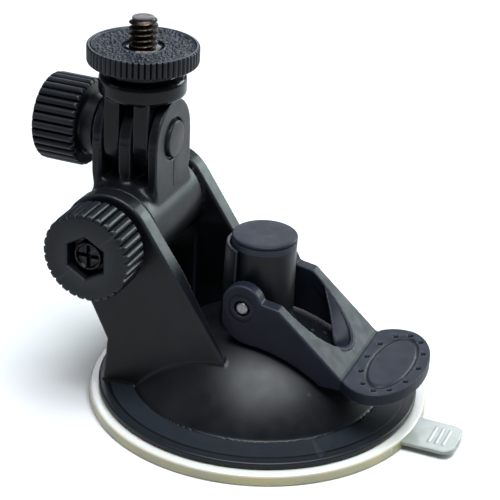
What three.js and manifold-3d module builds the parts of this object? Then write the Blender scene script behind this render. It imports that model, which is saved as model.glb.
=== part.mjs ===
// Windscreen suction mount for a dash camera.
// Millimetres, +Z up. The origin is the centre of the suction face, on the surface that it grips.
// +X points to the lever's thumb pad, and the two-cheek fork with the arm stands on the -X side.
import * as THREE from 'three';
import { mergeVertices } from 'three/addons/utils/BufferGeometryUtils.js';
import Module from 'manifold-3d';

// ---- Driving dimensions -------------------------------------------------------------------

const GAP = 0.3; // running and seating clearance between neighbouring pieces
const OVER = 1; // how far a cut runs past the face that it opens
const ROOT = 0.5; // how far a joined shape reaches into the one that carries it
const MERGE_DISTANCE = 1e-4; // vertices closer together than this are one

// Facets round a whole turn, by the size of what turns, and steps along arcs
const FACETS = { bore: 24, small: 32, ring: 40, body: 48, knob: 60, rim: 72 };
const HALF_TURN_STEPS = 18;
const EDGE_STEPS = 3; // of a rounded edge
const CORNER_STEPS = 5; // of a rounded corner

// Suction pad, membrane and pull tab
const PAD_RADIUS = 38.5;
const PAD_BEVEL = 0.5;
const PAD_THICKNESS = 2.5;
const MEMBRANE_THICKNESS = 1.5;
const MEMBRANE_BEVEL = 0.6;
const MEMBRANE_HOLE_RADIUS = 4.4;
const TAB_WIDTH = 11.5;
const TAB_REACH = 10.3; // beyond the pad's edge
const TAB_THICKNESS = 0.9;
const TAB_TONGUE = 5; // length held inside the pad
const TAB_CORNER_RADIUS = 2.5;
const TAB_SIDE_OFFSET = -3.1; // the tab sits a little to one side of the lever's centre line
const TAB_RIDGES = 3;
const TAB_RIDGE = { start: 4.2, pitch: 1.6, width: 0.4, height: 0.2 };

// Base housing: a rim, a flat skirt and a dome
const PAD_MARGIN = 2.2; // width of the pad that shows round the rim
const RIM_HEIGHT = 0.9;
const RIM_EDGE = 0.4; // rounding of the rim's outer edge
const RIM_GROOVE = { inset: 2, width: 0.6, depth: 0.3 };
const SKIRT_RISE = 1.6; // height of the skirt's inner edge above the rim's underside
const SKIRT_WIDTH = 8.1;
const SKIRT_CREASE = 0.5; // width of the step between the skirt and the dome
const DOME_TOP = 20;
const DOME_STEPS = { outside: 9, inside: 5 }; // of its outline
const DOME_STEP = 0.6; // height of the dome's foot above the skirt's inner edge
const HOUSING_WALL = 2.4;
const MEMBRANE_PLAY = 3 * GAP; // round the membrane, inside the dome
const MEMBRANE_EDGE = 3; // from the membrane's edge to the dome's foot

// Plunger, its guide, cap, spring and foot
const PLUNGER_RADIUS = 7.2;
const PLUNGER_RISE = 11.2; // its top above the lever pin
const PLUNGER_BORE_RADIUS = 4.6;
const PLUNGER_EDGE = 0.4;
const FOOT_FLANGE = 3.2; // the foot reaches this far out from the plunger, under the spring
const FOOT_THICKNESS = 1.8;
const PLUNGER_TRAVEL = 3.5; // downwards, as the lever opens
const GUIDE_TOP_WALL = 1;
const GUIDE_BOTTOM_WALL = 1.8;
const GUIDE_FRONT = 3.4; // the guide wall's two edges stop this far behind the axis
const GUIDE_SHORT = 0.2; // its top lies this far under the plunger's
const CAP_OVERHANG = 0.1;
const CAP_RIM = 0.9;
const CAP_GROOVE = 0.5; // step from the cap's rim in to its crown
const CAP_CROWN = 0.6;
const SPIGOT_LENGTH = 5;
const SPRING_WIRE = 1.2;
const SPRING_TURNS = 3.5;
const SPRING_POINTS = 12; // of its centre line in each turn
const SPRING_STEPS = 16; // facets in each turn
const SPRING_PLAY = 0.5; // between the coil and the plunger
const CUP_SCREW_RADIUS = 1.5;
const CUP_SCREW_HEAD_RADIUS = 3.4;
const CUP_SCREW_HEAD = 1.2;
const CUP_SCREW_LENGTH = 9;

// Lock lever
const PIN_RISE = 7.4; // lever pin above the dome's top, with the lever locked
const PIN_RADIUS = 1.45;
const PIN_CLEARANCE = 0.35;
const PIN_BEVEL = 0.3;
const PIN_SHORT = 0.1; // each pin end lies this far inside the lever's cheek face
const LEVER_CHEEK = 3;
const HUMP_RADIUS = 4.6;
const HUMP_RISE = 1; // centre of the hump above the pin
const CAM_END_ANGLE = 66; // lever angle up to which the cam's curve is needed
const UNDERCUT = { from: 4, to: 19, steps: 5 }; // X from which and to which the cheeks follow the dome
const HUMP_END = 18; // angle at which the hump runs into the valley
const CAM_STEPS = 7;
const VALLEY = { x: 4.4, z: 2.2 }; // this, the shoulder and the fold are places relative to the pin
const SHOULDER = { x: 8.4, z: 1.6 };
const FOLD_X = 23.6;
const PADDLE_OVER_DOME = 2.62; // from the dome up to the paddle's underside, at the fold
const PADDLE_CENTRE_X = 30.2;
const PADDLE_BACK = 10.4;
const PADDLE_FRONT = 8.8;
const PADDLE_HALF_WIDTH = 15.6;
const PADDLE_STEPS = { front: 28, back: 4 };
const PADDLE_THICKNESS = 2.8;
const SLOT_END_X = 21.2;
const SLOT_START_X = 8;
const LEVER_SKIN = 2.6; // thickness of the sloping bridge around the slot's end

// Fork and lower joint
const PIVOT_HEIGHT = 39.5;
const BOSS_RADIUS = 10.6;
const BOSS_END = 205; // angle at which the boss runs into the fork's rear edge
const FORK_CHEEK = 4.3; // thickness of each cheek at the pivot
const FORK_TOE = 1.3; // and at its toe, where it thins
const FORK_PLAY = 2 * GAP; // between each cheek and the lever
const HEEL_MARGIN = 0.85; // the heel's outer corners stand this far inside the rim
const PIVOT_INSET = 0.8; // the pivot stands this far in from the heel
const TOE = { x: -1.2, z: 15.4 };
const TOE_LIP = 1.6;
const HEEL_KINK = { inset: 1, z: 15 };
const WEB_TOP = 24;
const WEB_LEAN = 2.4; // the web's top stands this far behind its kink
const THIN_BELOW = 6; // the cheeks start to thin this far under the pivot
const WEB_THICKNESS = 3;
const LOWER_BOLT_RADIUS = 2.4;

// Arm
const ARM_DEPTH = 18; // along Y
const BARREL_STEP = 0.4; // the barrel's radius is this much less than the boss's
const BARREL_PLAY = 0.4; // between the barrel's end and each cheek
const SWING_CLEARANCE = 1; // between the barrel and the web under it
const TEETH = 30;
const TOOTH_INNER = 2.2; // from the bolt's surface to the teeth
const TOOTH_DEPTH = 0.8;
const TOOTH_VALLEY = 0.25; // height of the valleys, as a share of the teeth's
const UPPER_PIVOT = 19; // height of the upper pivot above the lower one
const OUTER_EAR = 2.2;
const MIDDLE_EAR = 2.8;
const PRONG = 3.6;
const EAR_RADIUS = 8.9;
const PRONG_RADIUS = 8.5;
const UPPER_BOLT_RADIUS = 2.4;
const BOLT_HEAD_RADIUS = 4.2;
const BOLT_HEAD_PROUD = 0.7;
const BOLT_HEAD_SUNK = 0.9;

// Head, thumb ring and camera screw
const FLANGE_LOW = 9.4; // underside of the flange above the upper pivot
const FLANGE_HEIGHT = 4.6;
const FLANGE_RADIUS = 9.7;
const FLANGE_ROUNDING = 1.1;
const NECK_RADIUS = 7.6;
const NECK_HEIGHT = 2.2;
const RING_RADIUS = 12.3;
const RING_THICKNESS = 4;
const RING_FLUTES = 60;
const RING_LIP = 1; // width of the ring's rim round the grip pad
const PAD_INSET_DEPTH = 0.9;
const PAD_PROUD = 0.1; // of the grip pad over the ring
const RING_FLUTE_DEPTH = 0.22;
const RING_FLUTE_POINTS = 2; // of the outline in each flute
const SOCKET_RADIUS = 4.7;
const SCREW_RADIUS = 6.35 / 2; // 1/4 inch, 20 threads to the inch
const SCREW_PITCH = 25.4 / 20;
const THREAD_DEPTH = 0.6 * SCREW_PITCH;
const THREAD_FACETS = 18; // in each turn of the thread
const THREAD_ROWS = 4; // sections in each pitch
const SCREW_REACH = 6.2; // above the ring's top face
const SCREW_COLLAR = 7.4; // across the flats of its hexagonal collar
const COLLAR_HEIGHT = 2.2;
const CLIP_RADIUS = 4.6;
const CLIP_THICKNESS = 1;
const CLIP_GROOVE = 0.7; // depth of the clip's groove in the screw
const CLIP_PLAY = 0.15; // between the clip and each side of the groove
const CLIP_MOUTH = 2.8;
const CLIP_SINK = 0.8; // depth of the clip under the flange's face

// Knobs, nuts and washers
const UPPER_KNOB = { radius: 9.9, length: 10.4, hub: 3 };
const LOWER_KNOB = { radius: 10.3, length: 8.4, hub: 0.6 };
const KNOB_FLUTES = 30;
const FLUTE_DEPTH = 0.55;
const FLUTE_POINTS = 3; // of the outline in each flute
const KNOB_FLOOR = 2; // thickness of the upper knob's closed end
const BOLT_IN_KNOB = 7.5; // length of the upper bolt inside the knob
const NUT_INSET = 0.4; // of the upper nut behind the knob's clamped side
const KNOB_ROUNDING = 1; // of the knob's two edges
const HEAD_SINK = 4.2; // floor of the lower knob's hexagonal recess, under its face
const HEAD_SHORT = 0.2; // the bolt's head is this much thinner than a nut
const NUT_SINK = 0.8; // of the lower nut under the far cheek's face
const CROSS_RECESS = { width: 0.9, length: 4.2, depth: 1.7, dish: 2.8, dishDepth: 0.7 };
const NUT_FLATS = 8;
const NUT_THICKNESS = 3.6;
const WASHER_RADIUS = 6.4;
const WASHER_THICKNESS = 0.8;
const HUB_RADIUS = 7;

// ---- Places that follow from them ---------------------------------------------------------

const HOUSING_LOW = PAD_THICKNESS + GAP;
const RIM_RADIUS = PAD_RADIUS - PAD_MARGIN;
const DOME_FOOT_RADIUS = RIM_RADIUS - SKIRT_WIDTH;
const DOME_FOOT_Z = HOUSING_LOW + SKIRT_RISE + DOME_STEP;
const DOME_RISE = DOME_TOP - DOME_FOOT_Z;
const DOME_SPHERE_RADIUS = (DOME_FOOT_RADIUS ** 2 + DOME_RISE ** 2) / (2 * DOME_RISE);
const DOME_CENTRE = DOME_TOP - DOME_SPHERE_RADIUS;
const domeHeight = (r, sphere = DOME_SPHERE_RADIUS) => DOME_CENTRE + Math.sqrt(sphere ** 2 - r ** 2);
const MEMBRANE_RADIUS = DOME_FOOT_RADIUS - MEMBRANE_EDGE;
const PIN_HEIGHT = DOME_TOP + PIN_RISE;
const PLUNGER_TOP = PIN_HEIGHT + PLUNGER_RISE;
const FOLD = { x: FOLD_X, z: domeHeight(FOLD_X) + PADDLE_OVER_DOME + PADDLE_THICKNESS - PIN_HEIGHT };
const FOOT_RADIUS = PLUNGER_RADIUS + FOOT_FLANGE;
const LEVER_INNER = PLUNGER_RADIUS + GAP + GUIDE_BOTTOM_WALL; // half width between its cheeks
const LEVER_OUTER = LEVER_INNER + LEVER_CHEEK;
const FORK_INNER = LEVER_OUTER + FORK_PLAY;
const FORK_OUTER = FORK_INNER + FORK_CHEEK;
const HEEL_X = -Math.sqrt((RIM_RADIUS - HEEL_MARGIN) ** 2 - FORK_OUTER ** 2);
const ARM_X = HEEL_X + PIVOT_INSET;
const BARREL_RADIUS = BOSS_RADIUS - BARREL_STEP;
const BARREL_HALF_LENGTH = FORK_INNER - BARREL_PLAY;
const SLOT_FLOOR = UPPER_PIVOT - PRONG_RADIUS - GAP; // of the arm's two slots, above the lower pivot
const ARM_WIDTH = 2 * OUTER_EAR + MIDDLE_EAR + 2 * PRONG + 4 * GAP;
const PAD_INSET_RADIUS = RING_RADIUS - RING_LIP;

// ---- Helpers ------------------------------------------------------------------------------

const wasm = await Module();
wasm.setup();

/** Merges shared vertices, drops collapsed triangles and turns the faces outwards. */
function closed(geometry) {
  const plain = geometry.clone();
  plain.deleteAttribute('normal');
  plain.deleteAttribute('uv');
  const merged = mergeVertices(plain, MERGE_DISTANCE);
  const index = merged.index.array;
  const at = (i) => new THREE.Vector3().fromBufferAttribute(merged.attributes.position, i);
  const triangles = [];
  let volume = 0;
  for (let i = 0; i < index.length; i += 3) {
    const [a, b, c] = index.slice(i, i + 3);
    if (a === b || b === c || c === a) continue;
    triangles.push([a, b, c]);
    volume += at(a).dot(at(b).cross(at(c)));
  }
  const outward = volume > 0 ? triangles : triangles.map(([a, b, c]) => [a, c, b]);
  merged.setIndex(outward.flat());
  return merged;
}

function solid(geometry) {
  const shell = closed(geometry);
  return new wasm.Manifold(new wasm.Mesh({
    numProp: 3,
    vertProperties: new Float32Array(shell.attributes.position.array),
    triVerts: new Uint32Array(shell.index.array),
  }));
}

function toGeometry(manifold) {
  const mesh = manifold.getMesh();
  const geometry = new THREE.BufferGeometry();
  const positions = new Float32Array(mesh.vertProperties);
  geometry.setAttribute('position', new THREE.BufferAttribute(positions, 3));
  geometry.setIndex([...mesh.triVerts]);
  return geometry;
}

/** Turns an outline of [radius, height] points about the Z axis. */
function lathe(outline, facets = FACETS.body) {
  const points = outline.map(([r, h]) => new THREE.Vector2(r, h));
  return new THREE.LatheGeometry(points, facets).rotateX(Math.PI / 2);
}

/** Cylinder along Z, from z0 to z1. */
function rod(radius, z0, z1, facets = FACETS.small) {
  return lathe([[0, z0], [radius, z0], [radius, z1], [0, z1]], facets);
}

function box(x0, x1, y0, y1, z0, z1) {
  return new THREE.BoxGeometry(x1 - x0, y1 - y0, z1 - z0)
    .translate((x0 + x1) / 2, (y0 + y1) / 2, (z0 + z1) / 2);
}

function shapeOf(points) {
  return new THREE.Shape(points.map(([x, y]) => new THREE.Vector2(x, y)));
}

function extrude(shape, depth) {
  return new THREE.ExtrudeGeometry(shape, { depth, bevelEnabled: false });
}

/** Extrudes an outline drawn in X and Z along Y, from y0 to y1. */
function slabAlongY(shape, y0, y1) {
  return extrude(shape, y1 - y0).rotateX(Math.PI / 2).translate(0, y1, 0);
}

/** Extrudes an outline drawn in Y and Z along X, from x0 to x1. */
function slabAlongX(shape, x0, x1) {
  const turn = new THREE.Matrix4().makeBasis(
    new THREE.Vector3(0, 1, 0), new THREE.Vector3(0, 0, 1), new THREE.Vector3(1, 0, 0));
  return extrude(shape, x1 - x0).applyMatrix4(turn).translate(x0, 0, 0);
}

/** Points along an arc, both ends included. Angles are in degrees. */
function arc(cx, cy, radius, from, to, steps) {
  return Array.from({ length: steps + 1 }, (_, i) => {
    const angle = THREE.MathUtils.degToRad(from + ((to - from) * i) / steps);
    return [cx + radius * Math.cos(angle), cy + radius * Math.sin(angle)];
  });
}

function hexagon(flats) {
  return shapeOf(arc(0, 0, flats / Math.sqrt(3), 0, 300, 5));
}

/** Outline with rounded flutes: the radius swings between radius - 2 * depth and radius. */
function fluted(radius, depth, count, pointsPerFlute) {
  const total = count * pointsPerFlute;
  return shapeOf(Array.from({ length: total }, (_, i) => {
    const angle = (i / total) * 2 * Math.PI;
    const r = radius - depth * (1 - Math.cos(count * angle));
    return [r * Math.cos(angle), r * Math.sin(angle)];
  }));
}

const alongX = (geometry) => geometry.rotateY(Math.PI / 2);
const alongY = (geometry) => geometry.rotateX(-Math.PI / 2);

const finishes = {
  black: { color: 0x1b1e22, roughness: 0.42, metalness: 0 },
  slate: { color: 0x24272d, roughness: 0.5, metalness: 0 },
  gel: { color: 0xe2dfc8, roughness: 0.25, metalness: 0 },
  clear: { color: 0xe8eae6, roughness: 0.15, metalness: 0 },
  rubber: { color: 0x191a1c, roughness: 0.8, metalness: 0 },
  steel: { color: 0xaaa6a8, roughness: 0.3, metalness: 1 },
  bronze: { color: 0x4a3f39, roughness: 0.38, metalness: 1 },
};

function piece(name, finish, geometry) {
  const mesh = new THREE.Mesh(geometry, new THREE.MeshStandardMaterial(finishes[finish]));
  mesh.name = name;
  return mesh;
}

// ---- Suction pad, tab and membrane --------------------------------------------------------

function suctionPad() {
  const disc = solid(lathe([[0, 0], [PAD_RADIUS, 0], [PAD_RADIUS, PAD_THICKNESS / 2],
    [PAD_RADIUS - PAD_BEVEL, PAD_THICKNESS], [0, PAD_THICKNESS]], FACETS.rim));
  const half = TAB_WIDTH / 2 + GAP;
  const pocket = solid(box(PAD_RADIUS - TAB_TONGUE - GAP, PAD_RADIUS + OVER,
    TAB_SIDE_OFFSET - half, TAB_SIDE_OFFSET + half,
    PAD_THICKNESS - TAB_THICKNESS - 2 * GAP, PAD_THICKNESS + OVER));
  return piece('suction_pad', 'gel', toGeometry(disc.subtract(pocket)));
}

function pullTab() {
  const x0 = PAD_RADIUS - TAB_TONGUE;
  const x1 = PAD_RADIUS + TAB_REACH;
  const y1 = TAB_WIDTH / 2;
  const r = TAB_CORNER_RADIUS;
  const outline = shapeOf([[x0, -y1], ...arc(x1 - r, r - y1, r, -90, 0, CORNER_STEPS),
    ...arc(x1 - r, y1 - r, r, 0, 90, CORNER_STEPS), [x0, y1]]);
  const low = PAD_THICKNESS - TAB_THICKNESS - GAP;
  let tab = solid(extrude(outline, TAB_THICKNESS).translate(0, 0, low));
  for (let i = 0; i < TAB_RIDGES; i += 1) {
    const x = PAD_RADIUS + TAB_RIDGE.start + i * TAB_RIDGE.pitch;
    tab = tab.add(solid(box(x, x + TAB_RIDGE.width, r - y1, y1 - r,
      low + TAB_THICKNESS / 2, low + TAB_THICKNESS + TAB_RIDGE.height)));
  }
  return piece('pull_tab', 'clear', toGeometry(tab).translate(0, TAB_SIDE_OFFSET, 0));
}

function membrane() {
  const top = HOUSING_LOW + MEMBRANE_THICKNESS;
  const ring = [[MEMBRANE_HOLE_RADIUS, HOUSING_LOW], [MEMBRANE_RADIUS, HOUSING_LOW],
    [MEMBRANE_RADIUS - MEMBRANE_BEVEL, top], [MEMBRANE_HOLE_RADIUS, top]];
  return piece('cup_membrane', 'rubber', closed(lathe([...ring, ring[0]])));
}

// ---- Base housing with its fork and guide -------------------------------------------------

/** Outline of a spherical cap, from its foot radius to the axis. */
function capOutline(footRadius, sphere, steps) {
  return Array.from({ length: steps + 1 }, (_, i) => {
    const r = footRadius * Math.cos((i / steps) * (Math.PI / 2));
    return [i === steps ? 0 : r, domeHeight(i === steps ? 0 : r, sphere)];
  });
}

function housingShell() {
  const rimTop = HOUSING_LOW + RIM_HEIGHT;
  const skirtTop = HOUSING_LOW + SKIRT_RISE;
  const landZ = rimTop + RIM_EDGE;
  const grooveOuter = RIM_RADIUS - RIM_GROOVE.inset;
  const grooveMiddle = grooveOuter - RIM_GROOVE.width / 2;
  const grooveInner = grooveOuter - RIM_GROOVE.width;
  const creaseOuter = DOME_FOOT_RADIUS + 2 * SKIRT_CREASE;
  return solid(lathe([[0, HOUSING_LOW], [RIM_RADIUS, HOUSING_LOW], [RIM_RADIUS, rimTop],
    [RIM_RADIUS - RIM_EDGE, landZ], [grooveOuter, landZ], [grooveMiddle, landZ - RIM_GROOVE.depth],
    [grooveInner, landZ], [creaseOuter, skirtTop + RIM_GROOVE.depth],
    [DOME_FOOT_RADIUS + SKIRT_CREASE, skirtTop],
    ...capOutline(DOME_FOOT_RADIUS, DOME_SPHERE_RADIUS, DOME_STEPS.outside)], FACETS.rim));
}

function housingHollow() {
  const sphere = DOME_SPHERE_RADIUS - HOUSING_WALL;
  const foot = MEMBRANE_RADIUS + MEMBRANE_PLAY;
  return solid(lathe([[0, 0], [foot, 0], [foot, HOUSING_LOW],
    ...capOutline(Math.sqrt(sphere ** 2 - (HOUSING_LOW - DOME_CENTRE) ** 2), sphere, DOME_STEPS.inside)],
  FACETS.ring));
}

/** C-shaped wall that guides the plunger from behind. */
function guideWall() {
  const inner = PLUNGER_RADIUS + GAP;
  const low = DOME_TOP - HOUSING_WALL;
  const top = PLUNGER_TOP - GUIDE_SHORT;
  const outer = inner + GUIDE_BOTTOM_WALL;
  const outline = [[inner, low], [outer, low], [inner + GUIDE_TOP_WALL, top], [inner, top]];
  const tube = solid(lathe([...outline, outline[0]]));
  return tube.intersect(solid(box(-outer - OVER, -GUIDE_FRONT, -outer - OVER, outer + OVER,
    low - OVER, top + OVER)));
}

/** Side outline of the fork, with the boss round the lower pivot. */
function forkOutline() {
  const dx = TOE.x - ARM_X;
  const dz = TOE.z - PIVOT_HEIGHT;
  const span = Math.hypot(dx, dz);
  const front = THREE.MathUtils.radToDeg(Math.atan2(dz, dx) + Math.acos(BOSS_RADIUS / span));
  const foot = HOUSING_LOW + ROOT;
  return [[HEEL_X, foot], [TOE.x, foot], [TOE.x, TOE.z - TOE_LIP], [TOE.x, TOE.z],
    ...arc(ARM_X, PIVOT_HEIGHT, BOSS_RADIUS, front, BOSS_END, HALF_TURN_STEPS),
    [HEEL_X + HEEL_KINK.inset, HEEL_KINK.z]];
}

function fork() {
  const outline = shapeOf(forkOutline());
  const inside = FORK_INNER;
  const cheeks = solid(slabAlongY(outline, inside, FORK_OUTER));
  // The cheeks thin towards their toes: a wedge comes off the inner side of the sloping front edge.
  const thinFrom = PIVOT_HEIGHT - THIN_BELOW;
  const toeInner = FORK_OUTER - FORK_TOE;
  const wedgeOutline = shapeOf([[inside - OVER, thinFrom], [inside, thinFrom],
    [toeInner, TOE.z], [toeInner, 0], [inside - OVER, 0]]);
  const wedge = slabAlongX(wedgeOutline, HEEL_X + 3 * WEB_THICKNESS, TOE.x + OVER);
  const nearCheek = cheeks.subtract(solid(wedge));
  const kinkX = HEEL_X + HEEL_KINK.inset;
  const foot = HOUSING_LOW + ROOT;
  const webOutline = shapeOf([[HEEL_X, foot], [HEEL_X + 2 * WEB_THICKNESS, foot],
    [kinkX + WEB_THICKNESS, HEEL_KINK.z], [kinkX + WEB_THICKNESS - WEB_LEAN, WEB_TOP],
    [kinkX - WEB_LEAN, WEB_TOP], [kinkX, HEEL_KINK.z]]);
  const web = solid(slabAlongY(webOutline, -inside - ROOT, inside + ROOT));
  const atPivot = (geometry) => solid(geometry.translate(ARM_X, 0, PIVOT_HEIGHT));
  const swing = atPivot(alongY(rod(BARREL_RADIUS + SWING_CLEARANCE, -inside, inside)));
  const teeth = toothRing(-1).translate([ARM_X, FORK_INNER, PIVOT_HEIGHT]);
  const through = FORK_OUTER + OVER;
  const bolt = atPivot(alongY(rod(LOWER_BOLT_RADIUS + GAP, -through, through, FACETS.bore)));
  const nutPocket = atPivot(alongY(extrude(hexagon(NUT_FLATS + 2 * GAP), NUT_THICKNESS))
    .translate(0, FORK_OUTER - NUT_THICKNESS + NUT_SINK, 0));
  return nearCheek.add(nearCheek.mirror([0, 1, 0])).add(web.subtract(swing)).add(teeth)
    .subtract(bolt).subtract(nutPocket);
}

/** Ring of radial locking teeth on a face square to Y. side is the way that the teeth point. */
function toothRing(side) {
  const inner = LOWER_BOLT_RADIUS + TOOTH_INNER;
  const outer = BARREL_RADIUS - BARREL_STEP;
  const steps = TEETH * 2;
  const positions = [];
  const at = (r, i, y) => {
    const angle = (i / steps) * 2 * Math.PI;
    return [r * Math.cos(angle), y, r * Math.sin(angle)];
  };
  const tip = (i) => side * TOOTH_DEPTH * (i % 2 ? 1 : TOOTH_VALLEY);
  const back = -side * ROOT;
  const quad = (a, b, c, d) => positions.push(...a, ...b, ...c, ...a, ...c, ...d);
  for (let i = 0; i < steps; i += 1) {
    const j = i + 1;
    quad(at(inner, i, tip(i)), at(inner, j, tip(j)), at(outer, j, tip(j)), at(outer, i, tip(i)));
    quad(at(inner, i, back), at(outer, i, back), at(outer, j, back), at(inner, j, back));
    quad(at(outer, i, tip(i)), at(outer, j, tip(j)), at(outer, j, back), at(outer, i, back));
    quad(at(inner, i, tip(i)), at(inner, i, back), at(inner, j, back), at(inner, j, tip(j)));
  }
  const geometry = new THREE.BufferGeometry();
  geometry.setAttribute('position', new THREE.Float32BufferAttribute(positions, 3));
  return solid(geometry);
}

function baseHousing() {
  const bore = solid(rod(PLUNGER_RADIUS + GAP, 0, PLUNGER_TOP + OVER, FACETS.body));
  const shell = housingShell().add(fork()).subtract(housingHollow()).subtract(bore);
  return piece('base_housing', 'black', toGeometry(shell.add(guideWall())));
}

// ---- Plunger ------------------------------------------------------------------------------

const FOOT_LOW = HOUSING_LOW + MEMBRANE_THICKNESS + PLUNGER_TRAVEL + 2 * GAP;
const FOOT_TOP = FOOT_LOW + FOOT_THICKNESS;

function plunger() {
  const body = solid(lathe([[0, FOOT_LOW], [FOOT_RADIUS, FOOT_LOW], [FOOT_RADIUS, FOOT_TOP],
    [PLUNGER_RADIUS, FOOT_TOP], [PLUNGER_RADIUS, PLUNGER_TOP - PLUNGER_EDGE],
    [PLUNGER_RADIUS - PLUNGER_EDGE, PLUNGER_TOP], [0, PLUNGER_TOP]]));
  const bore = solid(rod(PLUNGER_BORE_RADIUS, PLUNGER_TOP - SPIGOT_LENGTH - OVER, PLUNGER_TOP + OVER));
  const pinReach = PLUNGER_RADIUS + OVER;
  const cross = solid(alongY(rod(PIN_RADIUS + PIN_CLEARANCE, -pinReach, pinReach, FACETS.bore))
    .translate(0, 0, PIN_HEIGHT));
  const screwEnd = FOOT_LOW + CUP_SCREW_LENGTH + OVER;
  const screwHole = solid(rod(CUP_SCREW_RADIUS + GAP, 0, screwEnd, FACETS.bore));
  return piece('plunger', 'black', toGeometry(body.subtract(bore).subtract(cross).subtract(screwHole)));
}

function plungerCap() {
  const low = PLUNGER_TOP + GAP;
  const rimTop = low + CAP_RIM;
  const radius = PLUNGER_RADIUS + CAP_OVERHANG;
  const crown = Array.from({ length: CORNER_STEPS + 1 }, (_, i) => {
    const angle = (i / CORNER_STEPS) * (Math.PI / 2);
    const across = i === CORNER_STEPS ? 0 : (radius - CAP_GROOVE) * Math.cos(angle);
    return [across, rimTop + CAP_CROWN * Math.sin(angle)];
  });
  const spigot = PLUNGER_BORE_RADIUS - GAP;
  const outline = [[0, low - SPIGOT_LENGTH], [spigot, low - SPIGOT_LENGTH], [spigot, low],
    [radius - CAP_GROOVE / 2, low], [radius, low + CAP_GROOVE / 2], [radius, rimTop], ...crown];
  return piece('plunger_cap', 'slate', closed(lathe(outline)));
}

function releaseSpring() {
  const low = FOOT_TOP + GAP + SPRING_WIRE / 2;
  const radius = PLUNGER_RADIUS + GAP + SPRING_WIRE / 2 + SPRING_PLAY;
  const high = domeHeight(radius + SPRING_WIRE / 2, DOME_SPHERE_RADIUS - HOUSING_WALL)
    - 2 * GAP - SPRING_WIRE / 2;
  const last = SPRING_TURNS * SPRING_POINTS;
  const points = Array.from({ length: last + 1 }, (_, i) => {
    const angle = (i / SPRING_POINTS) * 2 * Math.PI;
    const rise = (high - low) * (i / last);
    return new THREE.Vector3(radius * Math.cos(angle), radius * Math.sin(angle), low + rise);
  });
  const section = shapeOf(arc(0, 0, SPRING_WIRE / 2, 0, 315, 7)); // an octagon
  const geometry = new THREE.ExtrudeGeometry(section, {
    steps: SPRING_TURNS * SPRING_STEPS,
    bevelEnabled: false,
    extrudePath: new THREE.CatmullRomCurve3(points),
  });
  return piece('release_spring', 'steel', closed(geometry));
}

function cupScrew() {
  const headTop = FOOT_LOW - GAP;
  const headLow = headTop - CUP_SCREW_HEAD;
  const end = headTop + CUP_SCREW_LENGTH;
  const bevel = CUP_SCREW_HEAD / 2;
  const outline = [[0, headLow], [CUP_SCREW_HEAD_RADIUS - bevel, headLow],
    [CUP_SCREW_HEAD_RADIUS, headLow + bevel], [CUP_SCREW_HEAD_RADIUS, headTop],
    [CUP_SCREW_RADIUS, headTop], [CUP_SCREW_RADIUS, end], [0, end]];
  return piece('cup_screw', 'steel', closed(lathe(outline, FACETS.bore)));
}

// ---- Lock lever, drawn about its pin ------------------------------------------------------

/**
 * Cam at the rear of the cheeks, from its rear end to its lowest point. The pin sinks evenly as the
 * lever opens, and the cam stays just above the dome at every angle: it is the envelope of the
 * dome's top, seen from the pin.
 */
function camOutline(lowest) {
  const sinkRate = PLUNGER_TRAVEL / (Math.PI / 2);
  return Array.from({ length: CAM_STEPS + 1 }, (_, i) => {
    const angle = THREE.MathUtils.degToRad(CAM_END_ANGLE * (1 - i / CAM_STEPS));
    const reach = lowest - sinkRate * angle;
    return [sinkRate * Math.cos(angle) - reach * Math.sin(angle),
      -sinkRate * Math.sin(angle) - reach * Math.cos(angle)];
  });
}

/** Side outline of the lever's cheeks, relative to the pin. */
function leverSide() {
  const { from, to, steps } = UNDERCUT;
  const undercut = Array.from({ length: steps + 1 }, (_, i) => {
    const x = from + ((to - from) * i) / steps;
    return [x, domeHeight(Math.hypot(x, LEVER_INNER)) + GAP - PIN_HEIGHT];
  });
  const lowest = PIN_HEIGHT - domeHeight(LEVER_INNER) - GAP / 2;
  const inPaddle = FOLD.x + 2 * OVER;
  return [...camOutline(lowest), ...undercut,
    [inPaddle, FOLD.z - PADDLE_THICKNESS], [inPaddle, FOLD.z], [FOLD.x, FOLD.z],
    [SHOULDER.x, SHOULDER.z], [VALLEY.x, VALLEY.z],
    ...arc(0, HUMP_RISE, HUMP_RADIUS, HUMP_END, 180, 2 * CORNER_STEPS)];
}

/** Top outline of the thumb paddle, relative to the pin. */
function paddleOutline() {
  const ellipse = (a, from, to, steps) => arc(0, 0, 1, from, to, steps)
    .map(([c, s]) => [PADDLE_CENTRE_X + a * c, PADDLE_HALF_WIDTH * s]);
  const start = THREE.MathUtils.radToDeg(Math.acos((FOLD.x - PADDLE_CENTRE_X) / PADDLE_BACK));
  const frontEnd = 90 - 180 / (PADDLE_STEPS.front + 2); // one step short of where the back half ends
  return [...ellipse(PADDLE_BACK, -start, -90, PADDLE_STEPS.back),
    ...ellipse(PADDLE_FRONT, -frontEnd, frontEnd, PADDLE_STEPS.front),
    ...ellipse(PADDLE_BACK, 90, start, PADDLE_STEPS.back)];
}

/** U-shaped slot in top view: straight between the cheeks, with a rounded end. */
function slotOutline() {
  const half = LEVER_INNER;
  const reach = SLOT_END_X - SLOT_START_X;
  const end = arc(0, 0, 1, -90, 90, HALF_TURN_STEPS).map(([c, s]) => [SLOT_START_X + reach * c, half * s]);
  const rear = -HUMP_RADIUS - OVER;
  return shapeOf([[rear, -half], ...end, [rear, half]]);
}

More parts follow.
